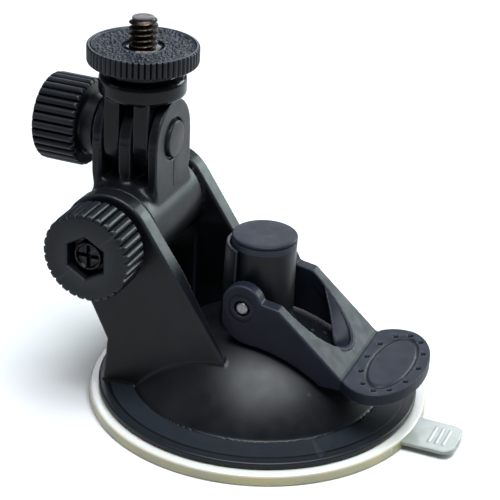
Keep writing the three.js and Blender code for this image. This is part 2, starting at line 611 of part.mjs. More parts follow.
function lockLever() {
  const side = solid(slabAlongY(shapeOf(leverSide()), -LEVER_OUTER, LEVER_OUTER));
  const paddleLow = FOLD.z - PADDLE_THICKNESS;
  const paddle = solid(extrude(shapeOf(paddleOutline()), PADDLE_THICKNESS).translate(0, 0, paddleLow));
  const slot = solid(extrude(slotOutline(), 2 * PIN_HEIGHT).translate(0, 0, -PIN_HEIGHT));
  // The underside of the sloping bridge is hollow, so that its skin keeps one thickness.
  const slope = (SHOULDER.z - FOLD.z) / (FOLD.x - SHOULDER.x);
  const drop = LEVER_SKIN * Math.hypot(1, slope);
  const underside = (x) => [x, FOLD.z + (FOLD.x - x) * slope - drop];
  const rear = SHOULDER.x - LEVER_CHEEK;
  const front = FOLD.x - LEVER_SKIN / 2;
  const hollow = solid(slabAlongY(shapeOf([[rear, -PIN_HEIGHT], [front, -PIN_HEIGHT],
    underside(front), underside(rear)]), -LEVER_INNER, LEVER_INNER));
  const pinReach = LEVER_OUTER + OVER;
  const bore = solid(alongY(rod(PIN_RADIUS + PIN_CLEARANCE, -pinReach, pinReach, FACETS.bore)));
  const lever = side.add(paddle).subtract(slot).subtract(hollow).subtract(bore);
  return piece('lock_lever', 'slate', toGeometry(lever));
}

function leverPin() {
  const half = LEVER_OUTER - PIN_SHORT;
  const outline = [[0, -half], [PIN_RADIUS - PIN_BEVEL, -half], [PIN_RADIUS, PIN_BEVEL - half],
    [PIN_RADIUS, half - PIN_BEVEL], [PIN_RADIUS - PIN_BEVEL, half], [0, half]];
  return piece('lever_pin', 'steel', alongY(closed(lathe(outline, FACETS.bore))));
}

// ---- Arm, drawn about the lower pivot -----------------------------------------------------

const PRONG_CENTRES = [-1, 1].map((side) => side * (MIDDLE_EAR / 2 + GAP + PRONG / 2));

function armBody() {
  const halfWidth = ARM_WIDTH / 2;
  const halfDepth = ARM_DEPTH / 2;
  const column = slabAlongX(shapeOf([[-halfDepth, 0], [halfDepth, 0], [halfDepth, UPPER_PIVOT],
    ...arc(0, UPPER_PIVOT, EAR_RADIUS, 0, 180, HALF_TURN_STEPS), [-halfDepth, UPPER_PIVOT]]),
  -halfWidth, halfWidth);
  const toothRoom = TOOTH_DEPTH + GAP;
  const earTop = UPPER_PIVOT + EAR_RADIUS;
  const barrelEnd = BARREL_HALF_LENGTH - toothRoom;
  const barrel = alongY(rod(BARREL_RADIUS, -BARREL_HALF_LENGTH, barrelEnd, FACETS.body));
  let arm = solid(column).add(solid(barrel));
  for (const centre of PRONG_CENTRES) {
    const half = PRONG / 2 + GAP;
    arm = arm.subtract(solid(box(centre - half, centre + half, -halfDepth - OVER, halfDepth + OVER,
      SLOT_FLOOR, earTop + OVER)));
  }
  const across = halfWidth + OVER;
  const along = BARREL_HALF_LENGTH + OVER;
  const upperBore = alongX(rod(UPPER_BOLT_RADIUS + GAP, -across, across, FACETS.bore))
    .translate(0, 0, UPPER_PIVOT);
  const lowerBore = alongY(rod(LOWER_BOLT_RADIUS + GAP, -along, along, FACETS.bore));
  const seatFloor = halfWidth - BOLT_HEAD_SUNK;
  const headSeat = alongX(rod(BOLT_HEAD_RADIUS + 2 * GAP, seatFloor, across, FACETS.ring))
    .translate(0, 0, UPPER_PIVOT);
  arm = arm.subtract(solid(upperBore)).subtract(solid(lowerBore)).subtract(solid(headSeat));
  return piece('arm', 'black', toGeometry(arm));
}

// ---- Head, drawn about the upper pivot ----------------------------------------------------

const HEAD_TOP = FLANGE_LOW + FLANGE_HEIGHT + NECK_HEIGHT;
const RING_LOW = HEAD_TOP + GAP;
const RING_TOP = RING_LOW + RING_THICKNESS;
const CLIP_LOW = FLANGE_LOW + CLIP_SINK;
const CLIP_GROOVE_RADIUS = SCREW_RADIUS - CLIP_GROOVE;

function cameraHead() {
  const flangeTop = FLANGE_LOW + FLANGE_HEIGHT;
  const rounding = FLANGE_ROUNDING;
  const shoulder = FLANGE_RADIUS - rounding;
  const flange = solid(lathe([[0, FLANGE_LOW], [shoulder - rounding / 2, FLANGE_LOW],
    ...arc(shoulder, FLANGE_LOW + rounding, rounding, -60, 0, EDGE_STEPS),
    ...arc(shoulder, flangeTop - rounding, rounding, 0, 90, EDGE_STEPS),
    [NECK_RADIUS, flangeTop], [NECK_RADIUS, HEAD_TOP], [0, HEAD_TOP]]));
  const tongue = shapeOf([...arc(0, 0, PRONG_RADIUS, 180, 360, HALF_TURN_STEPS),
    [PRONG_RADIUS - GAP, FLANGE_LOW + OVER], [GAP - PRONG_RADIUS, FLANGE_LOW + OVER]]);
  let head = flange;
  for (const centre of PRONG_CENTRES) {
    head = head.add(solid(slabAlongX(tongue, centre - PRONG / 2, centre + PRONG / 2)));
  }
  const clipSeat = solid(rod(CLIP_RADIUS + GAP, FLANGE_LOW - ROOT, CLIP_LOW + CLIP_THICKNESS + GAP));
  const screwBore = solid(rod(SCREW_RADIUS + GAP, FLANGE_LOW, HEAD_TOP + OVER));
  const pivotBore = solid(alongX(rod(UPPER_BOLT_RADIUS + GAP, -ARM_WIDTH, ARM_WIDTH, FACETS.bore)));
  return piece('camera_head', 'black',
    toGeometry(head.subtract(clipSeat).subtract(screwBore).subtract(pivotBore)));
}

function thumbRing() {
  const outline = fluted(RING_RADIUS, RING_FLUTE_DEPTH, RING_FLUTES, RING_FLUTE_POINTS);
  const disc = solid(extrude(outline, RING_THICKNESS).translate(0, 0, RING_LOW));
  const topEdge = RING_LIP / 2;
  const envelope = solid(lathe([[0, RING_LOW], [RING_RADIUS - RING_LIP, RING_LOW],
    [RING_RADIUS, RING_LOW + RING_LIP], [RING_RADIUS, RING_TOP - topEdge],
    [RING_RADIUS - topEdge, RING_TOP], [0, RING_TOP]], FACETS.knob));
  const recessFloor = RING_TOP - PAD_INSET_DEPTH;
  const recess = solid(rod(PAD_INSET_RADIUS + GAP, recessFloor, RING_TOP + OVER, FACETS.body));
  const socket = solid(extrude(hexagon(SCREW_COLLAR + 2 * GAP), RING_THICKNESS)
    .translate(0, 0, RING_TOP - COLLAR_HEIGHT - GAP));
  const bore = solid(rod(SCREW_RADIUS + GAP, RING_LOW - OVER, RING_TOP + OVER));
  const ring = disc.intersect(envelope).subtract(recess).subtract(socket).subtract(bore);
  return piece('thumb_ring', 'black', toGeometry(ring));
}

function gripPad() {
  const low = RING_TOP - PAD_INSET_DEPTH + GAP;
  const top = RING_TOP + PAD_PROUD;
  const ring = [[SOCKET_RADIUS, low], [PAD_INSET_RADIUS, low],
    [PAD_INSET_RADIUS, top], [SOCKET_RADIUS, top]];
  return piece('grip_pad', 'rubber', closed(lathe([...ring, ring[0]])));
}

/** Threaded rod along Z, whose section steps round a V thread. */
function thread(z0, z1) {
  const segments = THREAD_FACETS;
  const rows = Math.round(((z1 - z0) * THREAD_ROWS) / SCREW_PITCH);
  const ringAt = (row) => Array.from({ length: segments }, (_, i) => {
    const angle = (i / segments) * 2 * Math.PI;
    const z = z0 + ((z1 - z0) * row) / rows;
    const phase = (((z / SCREW_PITCH - i / segments) % 1) + 1) % 1;
    const ramp = Math.min(row, rows - row) < 1 ? 1 : Math.abs(2 * phase - 1);
    const r = SCREW_RADIUS - THREAD_DEPTH * ramp;
    return [r * Math.cos(angle), r * Math.sin(angle), z];
  });
  const rings = Array.from({ length: rows + 1 }, (_, row) => ringAt(row));
  const positions = [];
  for (let row = 0; row < rows; row += 1) {
    for (let i = 0; i < segments; i += 1) {
      const j = (i + 1) % segments;
      const [a, b, c, d] = [rings[row][i], rings[row][j], rings[row + 1][j], rings[row + 1][i]];
      positions.push(...a, ...b, ...c, ...a, ...c, ...d);
    }
  }
  for (let i = 0; i < segments; i += 1) {
    const j = (i + 1) % segments;
    positions.push(0, 0, z0, ...rings[0][j], ...rings[0][i]);
    positions.push(0, 0, z1, ...rings[rows][i], ...rings[rows][j]);
  }
  const geometry = new THREE.BufferGeometry();
  geometry.setAttribute('position', new THREE.Float32BufferAttribute(positions, 3));
  return solid(geometry);
}

function cameraScrew() {
  const collarLow = RING_TOP - COLLAR_HEIGHT;
  const collarRoot = collarLow + ROOT;
  const grooveLow = CLIP_LOW - CLIP_PLAY;
  const grooveTop = CLIP_LOW + CLIP_THICKNESS + CLIP_PLAY;
  const end = FLANGE_LOW;
  const shank = solid(lathe([[0, end], [SCREW_RADIUS - PIN_BEVEL, end],
    [SCREW_RADIUS, end + PIN_BEVEL], [SCREW_RADIUS, grooveLow],
    [CLIP_GROOVE_RADIUS, grooveLow], [CLIP_GROOVE_RADIUS, grooveTop], [SCREW_RADIUS, grooveTop],
    [SCREW_RADIUS, collarRoot], [0, collarRoot]], FACETS.small));
  const collar = solid(extrude(hexagon(SCREW_COLLAR), COLLAR_HEIGHT - GAP).translate(0, 0, collarLow));
  const top = RING_TOP + SCREW_REACH;
  const threaded = thread(collarRoot, top - ROOT);
  const tip = solid(rod(SCREW_RADIUS - THREAD_DEPTH, top - 2 * ROOT, top, FACETS.bore));
  return piece('camera_screw', 'bronze', toGeometry(shank.add(collar).add(threaded).add(tip)));
}

/** Open retaining clip that snaps into the screw's groove, under the head's flange. */
function retainingClip() {
  const inner = CLIP_GROOVE_RADIUS + CLIP_PLAY;
  const top = CLIP_LOW + CLIP_THICKNESS;
  const ring = [[inner, CLIP_LOW], [CLIP_RADIUS, CLIP_LOW], [CLIP_RADIUS, top], [inner, top]];
  const half = CLIP_MOUTH / 2;
  const mouth = solid(box(0, CLIP_RADIUS + OVER, -half, half, CLIP_LOW - OVER, top + OVER));
  const clip = solid(lathe([...ring, ring[0]], FACETS.small)).subtract(mouth);
  return piece('retaining_clip', 'steel', toGeometry(clip));
}

// ---- Knobs and their hardware, drawn with the axis along Z and the clamped side at z = 0 --

/** Knob body along Z with a smooth hub towards its clamped side. */
function knobBody({ radius, length, hub }) {
  const end = hub + length;
  const outline = fluted(radius, FLUTE_DEPTH, KNOB_FLUTES, FLUTE_POINTS);
  const grip = solid(extrude(outline, length).translate(0, 0, hub));
  const inner = radius - KNOB_ROUNDING;
  const envelope = solid(lathe([[0, hub], [inner, hub], [radius, hub + KNOB_ROUNDING],
    ...arc(inner, end - KNOB_ROUNDING, KNOB_ROUNDING, 0, 90, EDGE_STEPS), [0, end]], FACETS.knob));
  return grip.intersect(envelope).add(solid(rod(HUB_RADIUS, 0, hub + ROOT, FACETS.body)));
}

const LOWER_KNOB_FACE = LOWER_KNOB.hub + LOWER_KNOB.length;
const HEAD_LOW = LOWER_KNOB_FACE - HEAD_SINK + GAP;

function lowerKnob() {
  const pocket = solid(extrude(hexagon(NUT_FLATS + 2 * GAP), HEAD_SINK + OVER)
    .translate(0, 0, LOWER_KNOB_FACE - HEAD_SINK));
  const bore = solid(rod(LOWER_BOLT_RADIUS + GAP, -OVER, LOWER_KNOB_FACE, FACETS.bore));
  const body = knobBody(LOWER_KNOB).subtract(pocket).subtract(bore);
  return piece('lower_knob', 'black', toGeometry(body));
}

/** Hexagon-head bolt: the head sits in the knob, and the shank runs to the nut in the far cheek. */
function lowerBolt() {
  const headTop = HEAD_LOW + NUT_THICKNESS - HEAD_SHORT;
  const reach = 2 * FORK_OUTER + WASHER_THICKNESS;
  const head = solid(extrude(hexagon(NUT_FLATS), headTop - HEAD_LOW).translate(0, 0, HEAD_LOW));
  const shank = solid(rod(LOWER_BOLT_RADIUS, -reach, HEAD_LOW + ROOT, FACETS.bore));
  const { width, length, depth, dish, dishDepth } = CROSS_RECESS;
  const hollow = solid(rod(dish, headTop - dishDepth, headTop + OVER, FACETS.bore));
  const slot = (dx, dy) => solid(box(-dx / 2, dx / 2, -dy / 2, dy / 2, headTop - depth, headTop + OVER));
  const bolt = head.add(shank).subtract(hollow).subtract(slot(length, width)).subtract(slot(width, length));
  return piece('lower_bolt', 'bronze', toGeometry(bolt));
}

function washer(name, bore) {
  const inner = bore + GAP;
  const ring = [[inner, 0], [WASHER_RADIUS, 0],
    [WASHER_RADIUS, WASHER_THICKNESS], [inner, WASHER_THICKNESS]];
  return piece(name, 'steel', closed(lathe([...ring, ring[0]], FACETS.ring)));
}

function nut(name, bore, thickness = NUT_THICKNESS) {
  const hole = solid(rod(bore + GAP, -OVER, thickness + OVER, FACETS.bore));
  const body = solid(extrude(hexagon(NUT_FLATS), thickness)).subtract(hole);
  return piece(name, 'steel', toGeometry(body));
}

/** Upper knob: the nut is pressed in from the clamped side, and the outer end is closed. */
function upperKnob() {
  const end = UPPER_KNOB.hub + UPPER_KNOB.length;
  const bore = solid(rod(UPPER_BOLT_RADIUS + GAP, -OVER, end - KNOB_FLOOR, FACETS.bore));
  const pocket = solid(extrude(hexagon(NUT_FLATS + 2 * GAP), OVER + NUT_INSET + NUT_THICKNESS + GAP)
    .translate(0, 0, -OVER));
  const body = knobBody(UPPER_KNOB).subtract(bore).subtract(pocket);
  return piece('upper_knob', 'black', toGeometry(body));
}

/** Bolt with a plain round head, drawn along -Z from its head. */
function upperBolt() {
  const length = ARM_WIDTH - BOLT_HEAD_SUNK + GAP + WASHER_THICKNESS + 2 * GAP + BOLT_IN_KNOB;
  const top = BOLT_HEAD_SUNK - GAP + BOLT_HEAD_PROUD;
  const bevel = PIN_BEVEL;
  const outline = [[0, -length], [UPPER_BOLT_RADIUS - bevel, -length], [UPPER_BOLT_RADIUS, bevel - length],
    [UPPER_BOLT_RADIUS, 0], [BOLT_HEAD_RADIUS, 0], [BOLT_HEAD_RADIUS, top - bevel],
    [BOLT_HEAD_RADIUS - bevel, top], [0, top]];
  return piece('upper_bolt', 'black', closed(lathe(outline, FACETS.ring)));
}

// ---- Assembly -----------------------------------------------------------------------------

/** Puts pieces in a group at one place, turned about one axis. */
function placed(pieces, [x, y, z], rotation = [0, 0, 0]) {
  const holder = new THREE.Group();
  holder.add(...pieces);
  holder.position.set(x, y, z);
  holder.rotation.set(...rotation);
  return holder;
}

const TOWARDS_MINUS_Y = [Math.PI / 2, 0, 0];
const TOWARDS_MINUS_X = [0, -Math.PI / 2, 0];
const TOWARDS_X = [0, Math.PI / 2, 0];
const halfArm = ARM_WIDTH / 2;

const base = placed([suctionPad(), pullTab(), membrane(), baseHousing()], [0, 0, 0]);

const plungerGroup = placed([plunger(), plungerCap(), releaseSpring(), cupScrew(),
  placed([lockLever(), leverPin()], [0, 0, PIN_HEIGHT])], [0, 0, 0]);

const ringGroup = placed([thumbRing(), gripPad(), cameraScrew(), retainingClip()], [0, 0, 0]);
const headGroup = placed([cameraHead(), ringGroup], [0, 0, UPPER_PIVOT]);

const upperHardware = placed([
  placed([upperBolt()], [halfArm - BOLT_HEAD_SUNK + GAP, 0, 0], TOWARDS_X),
  placed([washer('upper_washer', UPPER_BOLT_RADIUS)], [-halfArm - GAP, 0, 0], TOWARDS_MINUS_X),
  placed([upperKnob(), placed([nut('upper_nut', UPPER_BOLT_RADIUS)], [0, 0, NUT_INSET])],
    [-halfArm - WASHER_THICKNESS - 2 * GAP, 0, 0], TOWARDS_MINUS_X),
], [0, 0, UPPER_PIVOT]);

const lowerFace = FORK_OUTER + WASHER_THICKNESS + 2 * GAP;
const lowerHardware = [
  placed([washer('lower_washer', LOWER_BOLT_RADIUS)], [0, -FORK_OUTER - GAP, 0], TOWARDS_MINUS_Y),
  placed([lowerKnob(), lowerBolt()], [0, -lowerFace, 0], TOWARDS_MINUS_Y),
  placed([nut('lower_nut', LOWER_BOLT_RADIUS, NUT_THICKNESS - NUT_SINK - GAP)],
    [0, FORK_OUTER, 0], TOWARDS_MINUS_Y),
];

const lowerPivot = placed([armBody(), headGroup, upperHardware, ...lowerHardware],
  [ARM_X, 0, PIVOT_HEIGHT]);

const group = new THREE.Group();
group.add(base, plungerGroup, lowerPivot);
export default group;
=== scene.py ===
"""Looks of a dash camera's suction mount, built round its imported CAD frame.

Lengths are millimetres, as in the CAD model, until a mesh is made, which is in metres. The lights
and the camera are placed in metres.
"""

import math

import bpy
import numpy as np
from mathutils import Matrix, Vector


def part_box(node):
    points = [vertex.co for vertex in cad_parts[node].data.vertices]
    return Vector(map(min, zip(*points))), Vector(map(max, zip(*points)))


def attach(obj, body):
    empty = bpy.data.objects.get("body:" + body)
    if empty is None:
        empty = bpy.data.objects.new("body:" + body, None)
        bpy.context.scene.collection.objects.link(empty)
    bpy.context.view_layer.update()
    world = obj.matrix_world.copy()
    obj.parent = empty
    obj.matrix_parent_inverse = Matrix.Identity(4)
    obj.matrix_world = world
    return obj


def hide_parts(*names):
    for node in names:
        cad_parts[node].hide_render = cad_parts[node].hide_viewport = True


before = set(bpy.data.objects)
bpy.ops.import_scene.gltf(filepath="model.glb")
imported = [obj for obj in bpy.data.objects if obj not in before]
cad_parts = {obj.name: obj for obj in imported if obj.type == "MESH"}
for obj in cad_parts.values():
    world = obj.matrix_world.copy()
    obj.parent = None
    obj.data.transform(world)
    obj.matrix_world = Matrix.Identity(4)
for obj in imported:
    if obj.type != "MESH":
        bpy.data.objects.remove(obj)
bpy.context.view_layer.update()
MM = 0.001


# ---- Places taken from the frame ------------------------------------------------------------

def box_mm(node):
    """Lowest and highest corners of a CAD node, in millimetres."""
    low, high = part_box(node)
    return Vector(low) / MM, Vector(high) / MM


def centre_mm(node):
    low, high = box_mm(node)
    return (low + high) / 2


PAD_HIGH = box_mm("suction_pad")[1]
HOUSING_LOW, HOUSING_HIGH = box_mm("base_housing")
CAP_HIGH = box_mm("plunger_cap")[1]
RING_LOW, RING_HIGH = box_mm("thumb_ring")
GRIP_LOW, GRIP_HIGH = box_mm("grip_pad")
SCREW_LOW, SCREW_HIGH = box_mm("camera_screw")
HEAD_LOW, HEAD_HIGH = box_mm("camera_head")
UPPER_KNOB_LOW, UPPER_KNOB_HIGH = box_mm("upper_knob")
LOWER_KNOB_LOW, LOWER_KNOB_HIGH = box_mm("lower_knob")
UPPER_BOLT_LOW, UPPER_BOLT_HIGH = box_mm("upper_bolt")
LOWER_BOLT_LOW, LOWER_BOLT_HIGH = box_mm("lower_bolt")
PIN = centre_mm("lever_pin")
LOWER_PIVOT = Vector((centre_mm("arm").x, 0, centre_mm("lower_knob").z))
UPPER_PIVOT = Vector((LOWER_PIVOT.x, 0, centre_mm("upper_bolt").z))
HEAD_AXIS = (UPPER_PIVOT.x, 0, 0)  # foot of the upright axis of the head, ring and screw


# ---- Mesh helpers ---------------------------------------------------------------------------

CREASE_ANGLE = math.radians(32)  # a sharper edge stays crisp
ARC_STEPS = 6
FLUTE_CROWN = 0.175  # how far the ribs' edges drop below their middle, as a share of the depth
RELAX_FACTOR = 0.5
SOFTEN_STEP = 0.7


def new_piece(name, verts, faces):
    """Object with a mesh given in millimetres."""
    mesh = bpy.data.meshes.new(name)
    mesh.from_pydata([tuple(MM * c for c in v) for v in verts], [], faces)
    mesh.update()
    piece = bpy.data.objects.new(name, mesh)
    bpy.context.scene.collection.objects.link(piece)
    return piece


def shade_smooth(mesh):
    mesh.polygons.foreach_set("use_smooth", [True] * len(mesh.polygons))


def polar(name, rows, segments, centre=(0, 0, 0), direction=(0, 0, 1), loop=False):
    """Mesh of rings about an axis. A row is (radius, height), each a number or a function of the
    angle. A radius of 0 is a point on the axis. loop joins the last ring to the first."""
    angles = np.arange(segments) * 2 * math.pi / segments
    turn = Vector((0, 0, 1)).rotation_difference(Vector(direction))
    verts, rings = [], []
    for radius, height in rows:
        if not callable(radius) and radius == 0:
            rings.append([len(verts)])
            verts.append(turn @ Vector((0, 0, height)) + Vector(centre))
            continue
        radii = radius(angles) if callable(radius) else np.full(segments, radius)
        heights = height(angles) if callable(height) else np.full(segments, height)
        rings.append(list(range(len(verts), len(verts) + segments)))
        for a, r, h in zip(angles, radii, heights):
            point = Vector((r * math.cos(a), r * math.sin(a), h))
            verts.append(turn @ point + Vector(centre))
    pairs = list(zip(rings, rings[1:]))
    if loop:
        pairs.append((rings[-1], rings[0]))
    faces = []
    for low, high in pairs:
        for i in range(segments):
            j = (i + 1) % segments
            if len(low) == 1:
                faces.append((low[0], high[j], high[i]))
            elif len(high) == 1:
                faces.append((low[i], low[j], high[0]))
            else:
                faces.append((low[i], low[j], high[j], high[i]))
    piece = new_piece(name, verts, faces)
    shade_smooth(piece.data)
    piece.data.set_sharp_from_angle(angle=CREASE_ANGLE)
    return piece


def turn_arc(r, h, radius, start, end):
    """Rows along an arc of a profile about (r, h), both ends included, in degrees."""
    angles = np.radians(np.linspace(start, end, ARC_STEPS + 1))
    return [(r + radius * math.cos(a), h + radius * math.sin(a)) for a in angles]


def hexagon(flats):
    """Radius of a hexagon as a function of the angle."""
    def radius(angle):
        off = (angle + math.pi / 6) % (math.pi / 3) - math.pi / 6
        return flats / 2 / np.cos(off)
    return radius


def fluted(rows, radius, count, depth, width):
    """Cuts count narrow rounded grooves into the rows near the radius. The width is a share of
    the way from one groove to the next."""
    def cut(r):
        def shaped(angle):
            off = (angle * count / (2 * math.pi)) % 1 - 0.5
            ridge = radius - depth * np.exp(-(off / width) ** 2)
            crown = radius - FLUTE_CROWN * depth * (1 - np.cos(2 * math.pi * (off + 0.5)))
            return np.minimum(r, np.minimum(ridge, crown))
        return shaped
    return [(cut(r) if not callable(r) and r > radius - 2 * depth else r, h) for r, h in rows]


def final_mesh(piece):
    """Replaces a piece's mesh with what its modifiers make of it."""
    graph = bpy.context.evaluated_depsgraph_get()
    mesh = bpy.data.meshes.new_from_object(piece.evaluated_get(graph))
    piece.modifiers.clear()
    piece.data = mesh
    return mesh


def moulded(name, node, voxel, smoothing, extras=()):
    """New piece with a CAD node's shape, remeshed finely so that its edges come out rounded.
    The extras are closed pieces that are joined into it."""
    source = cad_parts[node]
    mesh = source.data.copy()
    mesh.transform(source.matrix_world)
    piece = bpy.data.objects.new(name, mesh)
    bpy.context.scene.collection.objects.link(piece)
    for extra in extras:
        with bpy.context.temp_override(active_object=piece, selected_editable_objects=[piece, extra]):
            bpy.ops.object.join()
    remesh = piece.modifiers.new("remesh", "REMESH")
    remesh.mode = "VOXEL"
    remesh.voxel_size = voxel * MM
    relax = piece.modifiers.new("relax", "SMOOTH")
    relax.factor = RELAX_FACTOR
    relax.iterations = smoothing
    final = final_mesh(piece)
    final.name = name
    shade_smooth(final)
    return piece


def points_of(mesh):
    """The vertices' places in millimetres, one row each."""
    flat = np.empty(len(mesh.vertices) * 3)
    mesh.vertices.foreach_get("co", flat)
    return flat.reshape(-1, 3) / MM


def set_points(mesh, points):
    mesh.vertices.foreach_set("co", (points * MM).ravel())
    mesh.update()


def carve(piece, move):
    """Moves the vertices by move(points), in millimetres."""
    points = points_of(piece.data)
    set_points(piece.data, points + move(points))


def soften(piece, weight_of, rounds):
    """Relaxes the mesh where weight_of(points), in millimetres, is above 0."""
    mesh = piece.data
    points = points_of(mesh)
    ends = np.empty(len(mesh.edges) * 2, dtype=int)
    mesh.edges.foreach_get("vertices", ends)
    ends = ends.reshape(-1, 2)
    weight = weight_of(points)[:, None]
    count = np.bincount(ends.ravel(), minlength=len(points))[:, None]
    for _ in range(rounds):
        total = np.zeros_like(points)
        for axis in range(3):
            total[:, axis] += np.bincount(ends[:, 0], points[ends[:, 1], axis], len(points))
            total[:, axis] += np.bincount(ends[:, 1], points[ends[:, 0], axis], len(points))
        points = points + SOFTEN_STEP * weight * (total / count - points)
    set_points(mesh, points)


def groove(distance, width):
    """1 on a line, falling softly to nearly 0 at its width from it."""
    return np.exp(-(distance / (width / 2)) ** 2)


def place(piece, body, slot, material, *nodes):
    """Gives a piece its finish and the body it rides on, and hides the CAD nodes it stands for."""
    piece.data.materials.clear()
    piece.data.materials.append(material)
    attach(piece, body)
    if nodes:
        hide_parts(*nodes)
    return piece


# ---- Materials ------------------------------------------------------------------------------

NOISE_SPAN = (0.3, 0.7)  # where most of a noise texture's values lie
MIX_FIRST, MIX_SECOND, MIX_RESULT = 6, 7, 2  # a Mix node's colour sockets
EDGE_POINTINESS = (0.505, 0.56)  # flat edge, and sharp edge that is lightened by rubbing and by a painted highlight
EDGE_WEAR_AND_HIGHLIGHT = (0.6, 0.6, 0.6)
HOLLOW_POINTINESS = (0.44, 0.492)  # deep hollow, darkened with painted shade, and flat
HOLLOW_SHADE = (0.12, 0.12, 0.12)
NONE, FULL = (0, 0, 0), (1, 1, 1)
DARK_PATCH, LIGHT_PATCH = 0.75, 1.3  # of a plastic's colour


def shader(name):
    material = bpy.data.materials.new(name)
    material.use_nodes = True
    tree = material.node_tree
    return material, tree, tree.nodes["Principled BSDF"]


def noise(tree, coords, scale_mm, detail=3):
    node = tree.nodes.new("ShaderNodeTexNoise")
    node.inputs["Scale"].default_value = 1 / (scale_mm * MM)
    node.inputs["Detail"].default_value = detail
    tree.links.new(coords, node.inputs["Vector"])
    return node.outputs["Fac"]


def object_coords(tree):
    return tree.nodes.new("ShaderNodeTexCoord").outputs["Object"]


def ramp(tree, value, span, first, second):
    """Colour that goes from the first to the second while the value crosses the span."""
    node = tree.nodes.new("ShaderNodeValToRGB")
    for element, at, colour in zip(node.color_ramp.elements, span, (first, second)):
        element.position = at
        element.color = (*colour, 1)
    tree.links.new(value, node.inputs["Fac"])
    return node.outputs["Color"]


def map_noise(tree, value, low, high):
    node = tree.nodes.new("ShaderNodeMapRange")
    node.inputs["From Min"].default_value, node.inputs["From Max"].default_value = NOISE_SPAN
    node.inputs["To Min"].default_value = low
    node.inputs["To Max"].default_value = high
    tree.links.new(value, node.inputs["Value"])
    return node.outputs["Result"]


def bump(tree, bsdf, value, strength, depth_mm):
    node = tree.nodes.new("ShaderNodeBump")
    node.inputs["Strength"].default_value = strength
    node.inputs["Distance"].default_value = depth_mm * MM
    tree.links.new(value, node.inputs["Height"])
    tree.links.new(node.outputs["Normal"], bsdf.inputs["Normal"])


def mixed(tree, factor, first, second):
    """Mix of two colours, each a constant or a socket."""
    node = tree.nodes.new("ShaderNodeMix")
    node.data_type = "RGBA"
    tree.links.new(factor, node.inputs["Factor"])
    for socket, value in ((node.inputs[MIX_FIRST], first), (node.inputs[MIX_SECOND], second)):
        if isinstance(value, tuple):
            socket.default_value = (*value, 1)
        else:
            tree.links.new(value, socket)
    return node.outputs[MIX_RESULT]


def times(tree, first, second):
    node = tree.nodes.new("ShaderNodeMix")
    node.data_type = "RGBA"
    node.blend_type = "MULTIPLY"
    node.inputs["Factor"].default_value = 1
    tree.links.new(first, node.inputs[MIX_FIRST])
    tree.links.new(second, node.inputs[MIX_SECOND])
    return node.outputs[MIX_RESULT]


def plastic(name, colour, wear_and_highlight, roughness, specular, grain=0.25):
    """Moulded plastic with a fine grain, slow changes of tone and gloss, sharp edges lightened partly by
    rubbing and partly by a painted highlight, and painted shade in its recesses."""
    material, tree, bsdf = shader(name)
    coords = object_coords(tree)
    dark = tuple(DARK_PATCH * c for c in colour)
    light = tuple(LIGHT_PATCH * c for c in colour)
    tone = ramp(tree, noise(tree, coords, 9), NOISE_SPAN, dark, light)
    pointiness = tree.nodes.new("ShaderNodeNewGeometry").outputs["Pointiness"]
    # sharp edges are lightened, partly as rubbing and partly as a painted highlight
    edges = ramp(tree, pointiness, EDGE_POINTINESS, NONE, EDGE_WEAR_AND_HIGHLIGHT)
    # painted shade darkens the recesses
    hollow_shade = ramp(tree, pointiness, HOLLOW_POINTINESS, HOLLOW_SHADE, FULL)
    tree.links.new(times(tree, mixed(tree, edges, tone, wear_and_highlight), hollow_shade), bsdf.inputs["Base Color"])
    gloss = map_noise(tree, noise(tree, coords, 3), roughness - 0.04, roughness + 0.05)
    tree.links.new(gloss, bsdf.inputs["Roughness"])
    bsdf.inputs["Specular IOR Level"].default_value = specular
    bump(tree, bsdf, noise(tree, coords, 0.28, 2), grain, 0.03)
    return material


def metal(name, dark, light, roughness):
    """Turned metal with fine streaks and dull patches."""
    material, tree, bsdf = shader(name)
    coords = object_coords(tree)
    tone = ramp(tree, noise(tree, coords, 0.5, 5), (0.35, 0.68), dark, light)
    tree.links.new(tone, bsdf.inputs["Base Color"])
    gloss = map_noise(tree, noise(tree, coords, 1.2), roughness - 0.07, roughness + 0.1)
    tree.links.new(gloss, bsdf.inputs["Roughness"])
    bsdf.inputs["Metallic"].default_value = 1
    bump(tree, bsdf, noise(tree, coords, 0.15, 4), 0.2, 0.02)
    return material


def gel():
    """Slightly yellow translucent gel: nearly white on its top face, deeper in its side."""
    side_tones = (0.32, 0.31, 0.20), (0.42, 0.385, 0.20)
    top_tone = (0.62, 0.62, 0.58)
    material, tree, bsdf = shader("gel")
    coords = object_coords(tree)
    normal = tree.nodes.new("ShaderNodeSeparateXYZ")
    tree.links.new(tree.nodes.new("ShaderNodeNewGeometry").outputs["Normal"], normal.inputs["Vector"])
    side = ramp(tree, noise(tree, coords, 14), (0.35, 0.65), *side_tones)
    tree.links.new(mixed(tree, normal.outputs["Z"], side, top_tone), bsdf.inputs["Base Color"])
    gloss = map_noise(tree, noise(tree, coords, 4), 0.16, 0.28)
    tree.links.new(gloss, bsdf.inputs["Roughness"])
    bsdf.inputs["Transmission Weight"].default_value = 0.2
    bsdf.inputs["Subsurface Weight"].default_value = 0.35
    bsdf.inputs["Subsurface Scale"].default_value = 2.5 * MM
    bump(tree, bsdf, noise(tree, coords, 2), 0.15, 0.05)
    return material


def clear_film():
    """Milky clear plastic with a slight unevenness."""
    tones = (0.25, 0.27, 0.24), (0.32, 0.34, 0.31)
    material, tree, bsdf = shader("clear_film")
    coords = object_coords(tree)
    tone = ramp(tree, noise(tree, coords, 4), NOISE_SPAN, *tones)
    tree.links.new(tone, bsdf.inputs["Base Color"])
    gloss = map_noise(tree, noise(tree, coords, 3), 0.08, 0.18)
    tree.links.new(gloss, bsdf.inputs["Roughness"])
    bsdf.inputs["Transmission Weight"].default_value = 0.3
    bsdf.inputs["IOR"].default_value = 1.42
    bump(tree, bsdf, noise(tree, coords, 1.5), 0.1, 0.04)
    return material
